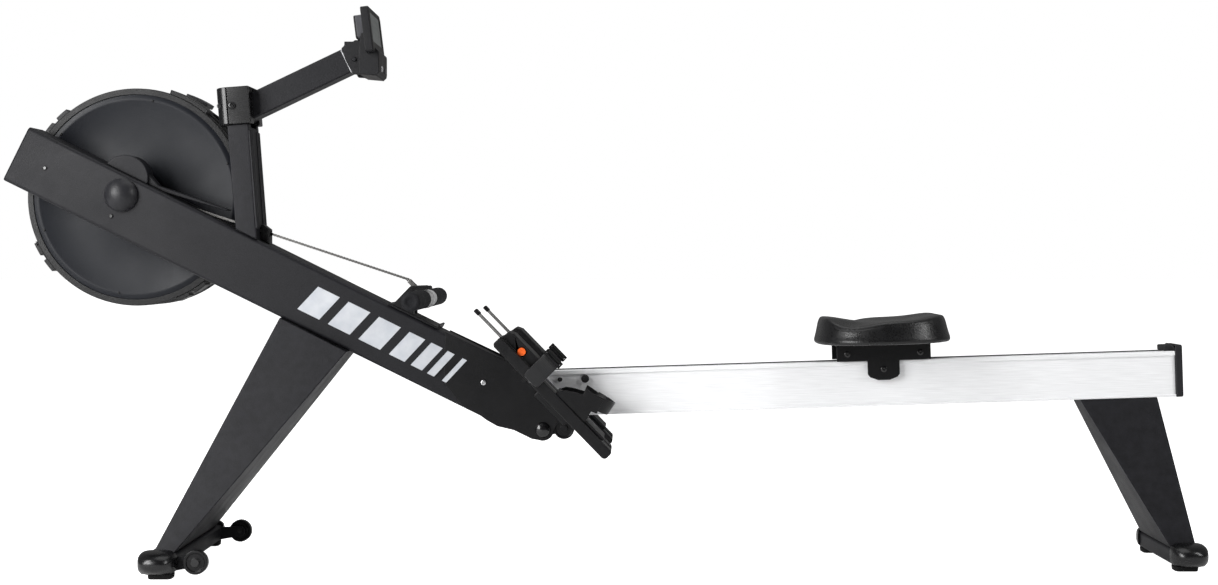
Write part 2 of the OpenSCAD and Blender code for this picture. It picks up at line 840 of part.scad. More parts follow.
module seat_roller(sx) color("#3b3b3f") rail_frame() {
    translate([seat_mid + sx * roller_pitch / 2, 0, rail_height + roller_radius]) {
        both_sides() rod(roller_radius - 0.3, -30, -16);
        rod(pivot_radius, -45, 45);
    }
}

module seat_roller_front() seat_roller(-1);
module seat_roller_rear() seat_roller(1);

module seat_guide_rollers() color("#55565a") rail_frame() {
    translate([guide_roller_x, 0, rail_height - rail_lip - guide_roller_radius - 0.6])
        both_sides() ring(guide_roller_radius, 3.5 + running_gap, -39.5, -32);
}

// ---------------------------------------------------------------- footboards

module footboard(side) color("#252529") {
    board_frame(side) difference() {
        union() {
            side_view(-board_width / 2, board_width / 2) polygon([
                [0, 4], [6, 0], [board_length - 5, 0], [board_length, 5], [board_length, board_thick - 4],
                [board_length - 4, board_thick], [2, board_thick], [0, board_thick - 2]
            ]);
            // Block that the slide strip runs through
            side_view(-38, 38) polygon([
                [2, board_thick], [112, board_thick], [104, 38], [84, 46], [16, 46], [4, 40]
            ]);
            // Lug to the frame
            translate([132, side > 0 ? -lug_y : lug_y - 14, -20]) cube([88, 14, 28]);
        }
        // Groove for the strip, and the button's well
        translate([-1, -strip_half - 0.5, board_thick - strip_thick - 0.8])
            cube([board_length + 2, 2 * strip_half + 1, strip_thick + 1.4]);
        translate([button_u, 0, button_n])
            rotate([-90 * side, 0, 0]) translate([0, 0, 20]) cylinder(r = 8.4, h = 30);
    }
}

module footboard_left() footboard(LEFT);
module footboard_right() footboard(RIGHT);

module release_button(side) color("#e8541e") board_frame(side) {
    translate([button_u, 0, button_n]) rotate([-90 * side, 0, 0]) translate([0, 0, 26])
        cylinder(r = 8, h = 16);
}

module release_button_left() release_button(LEFT);
module release_button_right() release_button(RIGHT);

// Front view of a half ellipse on two straight legs
module strap_arch(half, rise, low) translate([0, strap_base]) {
    intersection() {
        scale([1, rise / half]) circle(r = half);
        translate([-half, 0]) square([2 * half, rise]);
    }
    translate([-half, low]) square([2 * half, -low]);
}

// Instep strap: one arch over the board, with a leg down each side
module foot_strap(side) color("#131314") board_frame(side) {
    front_view(86, 124) difference() {
        strap_arch(board_width / 2 + 3.5, 45, -22);
        strap_arch(board_width / 2 + 0.3, 42, -24);
    }
}

module foot_strap_left() foot_strap(LEFT);
module foot_strap_right() foot_strap(RIGHT);

module slide_strip(side) color("#b8b9bb") board_frame(side) {
    translate([-strip_out, -strip_half, board_thick - strip_thick - 0.5])
        cube([330, 2 * strip_half, strip_thick]);
}

module slide_strip_left() slide_strip(LEFT);
module slide_strip_right() slide_strip(RIGHT);

// Heel cup: a ribbed sole with a raised band around the heel
module heel_cup(side) color("#1f1f22") board_frame(side) {
    sole = board_thick + 0.6;
    translate([heel_start, -47, sole]) cube([132, 94, 6]);
    translate([heel_start + 2, -strip_half, board_thick - 0.5]) cube([90, 2 * strip_half, 2]);
    for (x = [164:12:200]) translate([x, -40, sole + 5]) cube([6, 80, 3]);
    both_sides() side_view(-50, -45) polygon([
        [heel_start, sole], [240, sole], [233, 49], [244, 54], [234, 82], [193, 74], [198, 61],
        [180, 51], [165, 40]
    ]);
    intersection() {
        translate([214, 0, 46]) rotate([0, -17, 0]) translate([5, 0, 3]) difference() {
            cylinder(r1 = 47, r2 = 50, h = 29);
            translate([0, 0, -1]) cylinder(r1 = 42.8, r2 = 46.1, h = 31);
        }
        translate([220, -60, 20]) cube([80, 120, 90]);
    }
}

module heel_cup_left() heel_cup(LEFT);
module heel_cup_right() heel_cup(RIGHT);

// ---------------------------------------------------------------- fasteners and the damper

module dome_bolt(r, y) {
    translate([0, y, 0]) rotate([90, 0, 0]) rotate_extrude() intersection() {
        scale([1, 0.6]) circle(r = r);
        square([r, r]);
    }
}

module frame_bolts() color("#6d6e72") {
    // Hook pin with a dome nut at each end
    translate([hook_x, 0, hook_z]) {
        rod(hook_radius, -beam_side - plate_thick, beam_side + plate_thick);
        both_sides() dome_bolt(dome_radius, -beam_side - plate_thick);
    }
    // Screws in the cheeks
    both_sides() for (p = [[-241, 375], [-174, 401], [-158, 380]])
        translate([p[0], 0, p[1]]) rod(5, -beam_side - plate_thick - 2, -beam_side - plate_thick);
    // Screws in the beam's side
    both_sides() for (p = [[-1144, 816], [-1008, 717]])
        translate([p[0], 0, p[1]]) rod(4, -beam_side - 1.5, -beam_side);
    // Pivot bolt of the monitor arm
    translate([pivot_x, 0, pivot_z]) {
        rod(pivot_radius, -cap_width / 2, cap_width / 2);
        both_sides() rod(8, -cap_width / 2 - 3, -cap_width / 2);
    }
    // Axle bolts of the transport wheels
    both_sides() translate([wheel_x, -wheel_y, wheel_z]) {
        rod(pivot_radius, -wheel_width / 2 - 1, wheel_width / 2 + 5.5);
        rod(8, -wheel_width / 2 - 4, -wheel_width / 2 - 0.5);
    }
    // Bolts in the rail's sides, their heads outside the lip
    both_sides() rail_frame() for (p = [[93, 4.8], [145, 8.2]])
        translate([p[0], 0, 75.5]) {
            rod(4, -rail_width / 2, -rail_web_half);
            rod(p[1], -rail_width / 2 - 3, -rail_width / 2);
        }
}

module damper_lever() color("#2c2c30") axle_frame() {
    y = cage_back + 0.4;
    difference() {
        union() {
            ring(fan_hole_radius - 6, damper_boss_radius + running_gap, y, y + 3);
            rotate([0, -63, 0]) translate([90, y, -9]) cube([fan_radius - 80, 3, 18]);
        }
        for (i = [0:5]) rotate([0, i * 60, 0]) ring_sector(40, 90, y - 1, y + 4, -14, 14);
    }
    ring_sector(fan_radius + 4, fan_radius + 14, y - 58, y + 3, 57, 69);
}

main_beam();
beam_end_cap();
side_plates();
front_leg();
front_foot();
foot_end_caps();
foot_pads();
monitor_post();
post_cap();
chain_guide();
sprocket_cover();
axle_cap();
fan_front_cover();
fan_rim();
fan_grille();
rim_clips();
axle_bearings();
inner_chain();
elastic_cord();
handle_cradle();
rail_saddle();
rail();
rail_end_cap();
rear_leg();
rear_foot();
footboard_left();
footboard_right();
foot_strap_left();
foot_strap_right();
frame_bolts();
flywheel();
flywheel_axle();
sprocket();
return_pulley();
damper_lever();
wheel_left();
wheel_right();
storage_rollers();
handle_bar();
grip_left();
grip_right();
handle_yoke();
chain_swivel();
drive_chain();
monitor_arm();
monitor_case();
monitor_screen();
menu_button();
power_button();
seat_pad();
seat_carriage();
seat_roller_front();
seat_roller_rear();
seat_guide_rollers();
heel_cup_left();
heel_cup_right();
slide_strip_left();
slide_strip_right();
release_button_left();
release_button_right();
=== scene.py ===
import bpy
import bmesh
import json
import math
from mathutils import Matrix, Vector


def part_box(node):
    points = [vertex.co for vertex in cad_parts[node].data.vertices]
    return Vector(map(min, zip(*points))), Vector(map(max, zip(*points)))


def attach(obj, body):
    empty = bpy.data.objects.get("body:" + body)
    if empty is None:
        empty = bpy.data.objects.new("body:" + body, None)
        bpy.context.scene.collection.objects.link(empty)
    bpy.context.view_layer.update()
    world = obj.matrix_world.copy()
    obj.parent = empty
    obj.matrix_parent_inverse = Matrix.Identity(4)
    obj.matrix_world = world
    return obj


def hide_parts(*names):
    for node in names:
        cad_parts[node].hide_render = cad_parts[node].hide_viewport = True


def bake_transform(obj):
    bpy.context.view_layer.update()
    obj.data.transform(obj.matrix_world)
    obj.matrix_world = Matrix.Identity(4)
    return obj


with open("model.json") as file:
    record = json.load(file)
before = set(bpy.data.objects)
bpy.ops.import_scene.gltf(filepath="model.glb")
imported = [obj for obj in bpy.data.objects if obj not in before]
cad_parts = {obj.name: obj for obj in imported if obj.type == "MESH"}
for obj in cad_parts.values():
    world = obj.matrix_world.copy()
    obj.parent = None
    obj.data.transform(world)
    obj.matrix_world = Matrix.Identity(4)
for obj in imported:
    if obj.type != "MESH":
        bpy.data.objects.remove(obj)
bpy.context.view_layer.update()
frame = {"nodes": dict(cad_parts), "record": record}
NODES = frame["nodes"]
RECORD = frame["record"]

# ------------------------------------------------------------------ camera

# Square to the machine's side, a little above the seat. The shift moves the picture's
# window a little down and to the left.
CAMERA_AT = (0.062, -3.6, 0.637)
CAMERA_SHIFT = (-0.01806, -0.03079)
FOCAL_MM = 51.07

camera = bpy.data.objects.new("camera", bpy.data.cameras.new("camera"))
bpy.context.collection.objects.link(camera)
camera.location = CAMERA_AT
camera.rotation_euler = (math.radians(90), 0, 0)
camera.data.shift_x, camera.data.shift_y = CAMERA_SHIFT
camera.data.lens = FOCAL_MM
camera.data.sensor_width = 36
camera.data.clip_end = 200
bpy.context.scene.camera = camera
bpy.context.scene.view_settings.view_transform = "Standard"


# ------------------------------------------------------------------ materials

class Graph:
    """A material's node tree, with short calls to add nodes and links."""

    def __init__(self, name):
        self.material = bpy.data.materials.new(name)
        self.material.use_nodes = True
        self.tree = self.material.node_tree
        self.shader = self.tree.nodes["Principled BSDF"]
        self.coords = self.add("ShaderNodeTexCoord").outputs["Object"]

    def add(self, kind, **values):
        node = self.tree.nodes.new(kind)
        for key, value in values.items():
            if key in node.inputs:
                node.inputs[key].default_value = value
            else:
                setattr(node, key, value)
        return node

    def link(self, a, b):
        self.tree.links.new(a, b)

    def scaled(self, scale, rotation=(0, 0, 0)):
        """Object coordinates in metres, stretched by a scale for each axis."""
        node = self.add("ShaderNodeMapping")
        node.inputs["Scale"].default_value = scale
        node.inputs["Rotation"].default_value = rotation
        self.link(self.coords, node.inputs["Vector"])
        return node.outputs["Vector"]

    def noise(self, scale, detail=3.0, vector=None, rough=0.5):
        node = self.add("ShaderNodeTexNoise", Scale=scale, Detail=detail, Roughness=rough)
        self.link(vector or self.coords, node.inputs["Vector"])
        return node.outputs["Fac"]

    def cells(self, scale, vector=None, feature="F1"):
        node = self.add("ShaderNodeTexVoronoi", Scale=scale, feature=feature)
        self.link(vector or self.coords, node.inputs["Vector"])
        return node.outputs["Distance"]

    def ramp(self, value, low, high, out_low=0.0, out_high=1.0):
        node = self.add("ShaderNodeMapRange")
        node.inputs["From Min"].default_value = low
        node.inputs["From Max"].default_value = high
        node.inputs["To Min"].default_value = out_low
        node.inputs["To Max"].default_value = out_high
        self.link(value, node.inputs["Value"])
        return node.outputs["Result"]

    def mix(self, factor, a, b):
        """Mix of two colours; a and b are colours or outputs."""
        node = self.add("ShaderNodeMix", data_type="RGBA")
        self.link(factor, node.inputs["Factor"])
        for socket, value in ((node.inputs[6], a), (node.inputs[7], b)):
            if isinstance(value, tuple):
                socket.default_value = (*value, 1)
            else:
                self.link(value, socket)
        return node.outputs[2]

    def maths(self, operation, a, b):
        node = self.add("ShaderNodeMath", operation=operation)
        for socket, value in zip(node.inputs, (a, b)):
            if isinstance(value, (int, float)):
                socket.default_value = value
            else:
                self.link(value, socket)
        return node.outputs[0]

    def bump(self, height, distance, strength=1.0, under=None):
        node = self.add("ShaderNodeBump", Distance=distance, Strength=strength)
        self.link(height, node.inputs["Height"])
        if under:
            self.link(under, node.inputs["Normal"])
        return node.outputs["Normal"]

    def edges(self, low=0.53, high=0.62):
        """1 along convex edges, broken up by noise, for paler edges: wear, and on powder coat also
        a painted edge highlight.
        """
        point = self.add("ShaderNodeNewGeometry").outputs["Pointiness"]
        return self.maths("MULTIPLY", self.ramp(point, low, high),
                          self.ramp(self.noise(60), 0.35, 0.65))

    def finish(self, colour=None, rough=None, normal=None, **plain):
        for socket, value in (("Base Color", colour), ("Roughness", rough), ("Normal", normal)):
            if isinstance(value, tuple):
                self.shader.inputs[socket].default_value = (*value, 1)
            elif isinstance(value, (int, float)):
                self.shader.inputs[socket].default_value = value
            elif value is not None:
                self.link(value, self.shader.inputs[socket])
        for key, value in plain.items():
            self.shader.inputs[key.replace("_", " ")].default_value = value
        return self.material


def scale_colour(colour, factor):
    return tuple(min(1, c * factor) for c in colour)


def powder_coat(name, colour, rough=0.5, grain=1.0, specular=0.22, wear_and_edge_highlight=True):
    """Powder coated steel: fine orange peel, speckle, and paler edges, partly wear and partly a
    painted edge highlight.
    """
    g = Graph(name)
    speckle = g.noise(900, 2)
    patch = g.noise(5, 3)
    tint = g.mix(g.ramp(speckle, 0.3, 0.7), scale_colour(colour, 0.72), scale_colour(colour, 1.3))
    tint = g.mix(g.ramp(patch, 0.3, 0.75, 0, 0.1), tint, scale_colour(colour, 1.45))
    if wear_and_edge_highlight:
        # Paler edges: partly wear, partly a painted highlight along the edges
        tint = g.mix(g.edges(), tint, scale_colour(colour, 2.2))
    shine = g.ramp(g.noise(14, 4), 0.3, 0.7, rough - 0.05, rough + 0.06)
    peel = g.bump(g.noise(420, 3), 0.0005 * grain, 0.55)
    fine = g.bump(speckle, 0.0002 * grain, 0.5, peel)
    return g.finish(tint, shine, fine, Specular_IOR_Level=specular)


def moulded(name, colour, rough=0.45, grain=700, depth=0.00015, specular=0.25, scuff=1.7):
    """Moulded plastic: fine spark-eroded grain, faint flow marks, scuffed edges."""
    g = Graph(name)
    flow = g.noise(9, 3)
    grains = g.cells(grain)
    tint = g.mix(g.ramp(flow, 0.3, 0.7), scale_colour(colour, 0.85), scale_colour(colour, 1.18))
    tint = g.mix(g.edges(), tint, scale_colour(colour, scuff))
    shine = g.ramp(g.noise(30, 4), 0.3, 0.7, rough - 0.06, rough + 0.08)
    return g.finish(tint, shine, g.bump(grains, depth, 0.7), Specular_IOR_Level=specular)


def glossy(name, colour, rough=0.12, coat=0.5):
    """Glossy plastic: hazy patches, hairline scratches and a very slight ripple."""
    g = Graph(name)
    scratch = g.noise(90, 6, g.scaled((1, 1, 14), (0.3, 0.2, 0.5)))
    tint = g.mix(g.ramp(g.noise(7, 2), 0.3, 0.7),
                 scale_colour(colour, 0.85), scale_colour(colour, 1.25))
    shine = g.ramp(scratch, 0.45, 0.75, rough, rough + 0.02)
    return g.finish(tint, shine, g.bump(g.noise(26, 2), 0.0001, 0.08),
                    Coat_Weight=coat, Coat_Roughness=0.06)


def metal(name, colour, rough=0.3, along=(1, 1, 1), brush=0.00006, dull=0.7,
          turn=(0, 0, 0), metallic=1.0):
    """Bare metal, brushed along one axis, with darker blotches."""
    g = Graph(name)
    lines = g.noise(900, 3, g.scaled(along, turn))
    blotch = g.noise(18, 4)
    tint = g.mix(g.ramp(lines, 0.3, 0.7), scale_colour(colour, 0.9), scale_colour(colour, 1.05))
    tint = g.mix(g.ramp(blotch, 0.45, 0.75, 0, 0.35), tint, scale_colour(colour, dull))
    shine = g.maths("ADD", g.ramp(lines, 0.3, 0.7, rough - 0.05, rough + 0.07),
                    g.ramp(blotch, 0.4, 0.8, 0, 0.08))
    return g.finish(tint, shine, g.bump(lines, brush, 0.8), Metallic=metallic)


def foam(name, colour, rough=0.7, cell=900, depth=0.0005):
    """Closed-cell foam or rubber: open pores over a soft unevenness."""
    g = Graph(name)
    pores = g.cells(cell)
    soft = g.noise(70, 3)
    tint = g.mix(g.ramp(pores, 0.0, 0.5), scale_colour(colour, 0.55), scale_colour(colour, 1.2))
    tint = g.mix(g.ramp(soft, 0.35, 0.7, 0, 0.4), tint, scale_colour(colour, 1.5))
    shape = g.bump(soft, 0.0008, 0.4)
    return g.finish(tint, g.ramp(soft, 0.3, 0.7, rough - 0.08, rough + 0.08),
                    g.bump(pores, depth, 0.7, shape), Specular_IOR_Level=0.15)


def leather(name, colour, rough=0.42, scale=330, depth=0.00025):
    """Grained skin of a moulded foam pad: pebbles, creases and polished high spots."""
    g = Graph(name)
    bend = g.noise(40, 2)
    pebble = g.cells(scale)
    crease = g.cells(scale * 0.5, feature="DISTANCE_TO_EDGE")
    height = g.maths("ADD", g.ramp(pebble, 0.0, 0.7, 1, 0), g.ramp(crease, 0.0, 0.12, 0, 0.5))
    tint = g.mix(g.ramp(pebble, 0.1, 0.6), scale_colour(colour, 1.35), scale_colour(colour, 0.6))
    tint = g.mix(g.ramp(bend, 0.4, 0.75, 0, 0.35), tint, scale_colour(colour, 1.7))
    shine = g.maths("ADD", g.ramp(pebble, 0.1, 0.6, rough - 0.08, rough + 0.1),
                    g.ramp(bend, 0.3, 0.7, -0.04, 0.06))
    return g.finish(tint, shine, g.bump(height, depth, 0.6), Specular_IOR_Level=0.5)


def webbing(name, colour, pitch=1100, turn=(0, 0, 0)):
    """Woven strap: warp and weft ribs crossing, with fuzz between."""
    g = Graph(name)
    ribs = []
    for axis in ("X", "Z"):
        wave = g.add("ShaderNodeTexWave", wave_type="BANDS", bands_direction=axis,
                     Scale=pitch / 6.283, Distortion=0.6)
        g.link(g.scaled((1, 1, 1), turn), wave.inputs["Vector"])
        ribs.append(wave.outputs["Fac"])
    weave = g.maths("MULTIPLY", ribs[0], ribs[1])
    fuzz = g.noise(1600, 3)
    tint = g.mix(weave, scale_colour(colour, 0.5), scale_colour(colour, 1.7))
    tint = g.mix(g.ramp(fuzz, 0.4, 0.7, 0, 0.4), tint, scale_colour(colour, 2.2))
    return g.finish(tint, g.ramp(fuzz, 0.3, 0.7, 0.7, 0.9), g.bump(weave, 0.0006, 0.8),
                    Sheen_Weight=0.3, Specular_IOR_Level=0.25)


def screen(name):
    """Reflective liquid crystal panel behind a clear window."""
    g = Graph(name)
    lines = g.noise(3, 1, g.scaled((1, 1, 260)))
    tint = g.mix(g.ramp(lines, 0.35, 0.65), (0.13, 0.138, 0.135), (0.16, 0.168, 0.165))
    tint = g.mix(g.ramp(g.noise(12, 2), 0.4, 0.7, 0, 0.4), tint, (0.2, 0.205, 0.2))
    return g.finish(tint, g.ramp(g.noise(40, 3), 0.3, 0.7, 0.3, 0.4), None, Specular_IOR_Level=0.12)


RAIL_SLOPE = math.radians(1.8)
BOARD_SLOPE = math.radians(45.8)
MATERIAL = {
    "charcoal_powder_coat": powder_coat("charcoal_powder_coat", (0.0075, 0.0075, 0.0092)),
    "black_steel": powder_coat("black_steel", (0.004, 0.004, 0.0045), 0.4),
    "grey_trim": moulded("grey_trim", (0.014, 0.014, 0.016), 0.5),
    "gloss_black_plastic": glossy("gloss_black_plastic", (0.003, 0.003, 0.0035), 0.27, 0.0),
    "rubber": foam("rubber", (0.008, 0.008, 0.008), 0.75, 600, 0.0003),
    "light_grey_plastic": moulded("light_grey_plastic", (0.36, 0.36, 0.37), 0.45),
    "grey_plastic": moulded("grey_plastic", (0.011, 0.011, 0.013), 0.38, 420, 0.0002, 0.3),
    "grey_cover": powder_coat("grey_cover", (0.0065, 0.0075, 0.0105), 0.42, 0.4, 0.2, False),
    "black_plastic": moulded("black_plastic", (0.0035, 0.0035, 0.004), 0.38),
    "bearing_steel": metal("bearing_steel", (0.55, 0.55, 0.56), 0.25),
    "chain_steel": metal("chain_steel", (0.2, 0.195, 0.19), 0.32, dull=0.5),
    "elastic_cord": webbing("elastic_cord", (0.02, 0.02, 0.022), 2400),
    "anodised_aluminium": metal("anodised_aluminium", (0.9, 0.905, 0.915), 0.5,
                                (0.02, 1, 1), 0.00003, 0.98, (0, RAIL_SLOPE, 0), 0.12),
    "board_plastic": moulded("board_plastic", (0.0045, 0.0045, 0.005), 0.42, 520, 0.00025),
    "strap_webbing": webbing("strap_webbing", (0.012, 0.012, 0.013), 900, (0, BOARD_SLOPE, 0)),
    "bolt_steel": glossy("bolt_steel", (0.004, 0.004, 0.0045), 0.2, 0.2),
    "cast_alloy": metal("cast_alloy", (0.35, 0.36, 0.38), 0.5),
    "wheel_plastic": moulded("wheel_plastic", (0.0025, 0.0025, 0.003), 0.28, 700, 0.0001, 0.3),
    "sleeve_grey": moulded("sleeve_grey", (0.5, 0.5, 0.505), 0.35),
    "grip_foam": foam("grip_foam", (0.009, 0.0092, 0.0105)),
    "monitor_plastic": moulded("monitor_plastic", (0.006, 0.006, 0.007), 0.5, 600, 0.0002),
    "screen_glass": screen("screen_glass"),
    "dark_button_plastic": moulded("dark_button_plastic", (0.03, 0.03, 0.033), 0.35),
    "seat_foam": leather("seat_foam", (0.0025, 0.0025, 0.003), 0.27),
    "strip_steel": metal("strip_steel", (0.28, 0.275, 0.27), 0.45, (0.03, 1, 0.03), 0.00006, 0.7,
                         (0, BOARD_SLOPE, 0)),
    "orange_plastic": moulded("orange_plastic", (0.62, 0.09, 0.012), 0.35),
}
SLOT_OF = {s["node"]: s["material_slot"] for s in RECORD["subparts"]}
BODY_OF = {n: b for b, ns in RECORD["behaviour"]["bodies"].items() for n in ns}


def paint(obj, material):
    obj.data.materials.clear()
    obj.data.materials.append(material)


for node_name, node_object in NODES.items():
    paint(node_object, MATERIAL[SLOT_OF[node_name]])


# ------------------------------------------------------------------ mesh helpers

def piece(name, mesh, body, slot, material=None):
    obj = bpy.data.objects.new(name, mesh)
    bpy.context.collection.objects.link(obj)
    paint(obj, material or MATERIAL[slot])
    if body:
        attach(obj, body)
    return obj


def smooth(mesh):
    mesh.polygons.foreach_set("use_smooth", [True] * len(mesh.polygons))


def round_edges(obj, width, segments=2, angle=35):
    """Rounds every edge sharper than the angle and keeps the flats flat."""
    bevel = obj.modifiers.new("edges", "BEVEL")
    bevel.width = width
    bevel.segments = segments
    bevel.limit_method = "ANGLE"
    bevel.angle_limit = math.radians(angle)
    bevel.use_clamp_overlap = False
    bevel.harden_normals = True
    normals = obj.modifiers.new("normals", "WEIGHTED_NORMAL")
    normals.keep_sharp = True


def subdivide(obj):
    modifier = obj.modifiers.new("subdivide", "SUBSURF")
    modifier.levels = modifier.render_levels = 1


def soften(node, width):
    """The CAD node's own shape with its hard edges rounded, shown in its place."""
    mesh = NODES[node].data.copy()
    work = bmesh.new()
    work.from_mesh(mesh)
    bmesh.ops.remove_doubles(work, verts=work.verts, dist=2e-5)
    bmesh.ops.dissolve_limit(work, angle_limit=math.radians(0.4),
                             verts=work.verts, edges=work.edges)
    work.to_mesh(mesh)
    work.free()
    smooth(mesh)
    obj = piece(node + "_rounded", mesh, BODY_OF[node], SLOT_OF[node])
    round_edges(obj, width)
    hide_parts(node)


# The nodes shown in their own shape, each with the width of its rounded edges in metres
EDGE_WIDTHS = {
    "main_beam": 0.0012, "beam_end_cap": 0.001, "side_plates": 0.0012, "front_leg": 0.002,
    "rear_leg": 0.002, "front_foot": 0.001, "rear_foot": 0.001, "foot_pads": 0.0015,
    "wheel_left": 0.0012, "wheel_right": 0.0012, "storage_rollers": 0.001,
    "monitor_post": 0.003, "post_cap": 0.002, "chain_guide": 0.001, "sprocket_cover": 0.002,
    "handle_cradle": 0.001, "rail": 0.0006, "rail_saddle": 0.001, "rail_end_cap": 0.0025,
    "footboard_left": 0.0025, "footboard_right": 0.0025, "monitor_case": 0.0012,
    "fan_rim": 0.0007, "rim_clips": 0.0012, "seat_carriage": 0.0015, "damper_lever": 0.0015,
    "heel_cup_left": 0.001, "heel_cup_right": 0.001, "handle_yoke": 0.0008,
    "chain_swivel": 0.0006, "slide_strip_left": 0.0005, "slide_strip_right": 0.0005,
    "monitor_arm": 0.001,
}
for edge_node, edge_width in EDGE_WIDTHS.items():
    soften(edge_node, edge_width)


# ------------------------------------------------------------------ shapes

JOINT_AT = {j["name"]: Vector(j["pos_m"])
            for j in RECORD["behaviour"]["joints"] if "pos_m" in j}
BEAM_SLOPE = math.radians(26.3)
POST_LEAN = math.radians(4.4)
BEAM = Matrix.Translation((-1.202, 0, 0.845)) @ Matrix.Rotation(BEAM_SLOPE, 4, "Y")
RAIL = Matrix.Translation((-0.175, 0, 0.302)) @ Matrix.Rotation(-RAIL_SLOPE, 4, "Y")
SCREEN = Matrix.Translation((-0.463, 0, 1.052)) @ Matrix.Rotation(math.radians(-7), 4, "Y")
SIDES = {"left": -1, "right": 1}


def board(side):
    return Matrix.Translation((-0.215, side * 0.110, 0.458)) @ Matrix.Rotation(BOARD_SLOPE, 4, "Y")


class Shape:
    """Collects closed solids, given in one local frame, into one mesh."""

    def __init__(self, matrix=None):
        self.work = bmesh.new()
        self.matrix = matrix or Matrix.Identity(4)

    def skin(self, rings, looped=False):
        """Joins rings of points, one after another, into a closed solid."""
        loops = [[self.work.verts.new(self.matrix @ Vector(p)) for p in ring] for ring in rings]
        count = len(loops[0])
        for a, b in zip(loops, loops[1:] + loops[:1] if looped else loops[1:]):
            for i in range(count):
                j = (i + 1) % count
                self.work.faces.new((a[i], a[j], b[j], b[i]))
        if not looped:
            self.work.faces.new(list(reversed(loops[0])))
            self.work.faces.new(loops[-1])
        return self

    def prism(self, outline, y0, y1):
        """An outline in X and Z, made thick along Y."""
        return self.skin([[(x, y, z) for x, z in outline] for y in (y0, y1)])

    def plate(self, outline, x0, x1):
        """An outline in Y and Z, made thick along X."""
        return self.skin([[(x, y, z) for y, z in outline] for x in (x0, x1)])

    def box(self, low, high):
        (x0, y0, z0), (x1, y1, z1) = low, high
        return self.prism([(x0, z0), (x1, z0), (x1, z1), (x0, z1)], y0, y1)

    def turn(self, profile, centre, steps=40, looped=False):
        """A profile of radius and height along Y, turned about the centre."""
        cx, cy, cz = centre
        angles = [2 * math.pi * i / steps for i in range(steps)]
        return self.skin([[(cx + r * math.cos(a), cy + y, cz + r * math.sin(a)) for a in angles]
                          for r, y in profile], looped)

    def done(self, name, body, slot, material=None, bevel=0.0, segments=2, sharp=40):
        bmesh.ops.recalc_face_normals(self.work, faces=self.work.faces)
        mesh = bpy.data.meshes.new(name)
        self.work.to_mesh(mesh)
        self.work.free()
        smooth(mesh)
        mesh.set_sharp_from_angle(angle=math.radians(sharp))
        obj = piece(name, mesh, body, slot, material)
        if bevel:
            round_edges(obj, bevel, segments)
        return obj


def rounded_outline(width, height, radius, centre=(0, 0), steps=5):
    points = []
    for quarter, (sx, sy) in enumerate(((1, 1), (-1, 1), (-1, -1), (1, -1))):
        for i in range(steps + 1):
            a = math.radians(90 * (quarter + i / steps))
            points.append((centre[0] + sx * (width / 2 - radius) + radius * math.cos(a),
                           centre[1] + sy * (height / 2 - radius) + radius * math.sin(a)))
    return points


# ------------------------------------------------------------------ seat pad

PAD_HALF_LENGTH = 0.1378
PAD_HALF_WIDTH = 0.150
PAD_SQUARENESS = 2.7
PAD_STEPS = 72
PAD_CENTRE = RAIL @ Vector((0.763, 0, 0.1305))


def ease(value, low, high):
    t = min(1, max(0, (value - low) / (high - low)))
    return t * t * (3 - 2 * t)


def pad_height(x, y):
    """Height of the pad's top: a bowl with raised ends and hollows for the thighs."""
    rise = 0.0115 * ease(-x, 0.035, 0.115) + 0.0105 * ease(x, 0.02, 0.115)
    thigh = 0.0165 * math.exp(-((x + 0.092) / 0.05) ** 2) * ease(abs(y), 0.045, 0.115)
    rear_side = 0.006 * ease(x, 0.02, 0.1) * ease(abs(y), 0.06, 0.14)
    bowl = 0.0035 * ease(abs(y), 0.02, 0.12)
    return 0.0435 + rise + bowl - thigh - rear_side


def pad_point(angle, scale):
    c, s = math.cos(angle), math.sin(angle)
    size = (abs(c) ** PAD_SQUARENESS + abs(s) ** PAD_SQUARENESS) ** (-1 / PAD_SQUARENESS)
    return PAD_HALF_LENGTH * size * c * scale, PAD_HALF_WIDTH * size * s * scale


def seat_pad():
    """Moulded pad: walls that flare towards a rolled bottom edge, and a crowned rim."""
    rings = []
    # Outline's scale and level, in metres, or as a share of the top's height where marked
    levels = [(0.2, 0.0, False), (0.6, 0.0, False), (0.93, 0.0, False), (0.978, 0.0006, False),
              (0.994, 0.003, False), (1.0, 0.0065, False), (0.996, 0.011, False),
              (0.975, 0.36, True), (0.952, 0.62, True), (0.936, 0.8, True)]
    # Outline's scale and drop below the top
    rim = [(0.927, 0.0085), (0.919, 0.005), (0.904, 0.0022), (0.884, 0.0006), (0.86, 0.0)]
    inner = [0.8, 0.7, 0.58, 0.45, 0.32, 0.18, 0.06]
    for scale, level, share in levels:
        ring = []
        for i in range(PAD_STEPS):
            x, y = pad_point(2 * math.pi * i / PAD_STEPS, scale)
            top = pad_height(x, y)
            ring.append((x, y, level * top if share else level))
        rings.append(ring)
    for scale, drop in rim + [(s, 0.0) for s in inner]:
        ring = []
        for i in range(PAD_STEPS):
            x, y = pad_point(2 * math.pi * i / PAD_STEPS, scale)
            ring.append((x, y, pad_height(x, y) - drop))
        rings.append(ring)
    frame_at = Matrix.Translation(PAD_CENTRE) @ Matrix.Rotation(-RAIL_SLOPE, 4, "Y")
    pad = Shape(frame_at).skin(rings).done("seat_pad_moulded", "seat", "seat_foam", sharp=180)
    subdivide(pad)
    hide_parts("seat_pad")


seat_pad()


# ------------------------------------------------------------------ chain

CHAIN_PITCH = 0.00656
CHAIN_SLOPE = math.radians(18.3)
PITCH_RADIUS = 0.0188
PLATE_RADIUS = 0.0026
CHAIN_ROW = 0.0192 - 3 * PITCH_RADIUS
ANCHOR_HALF = 0.0045


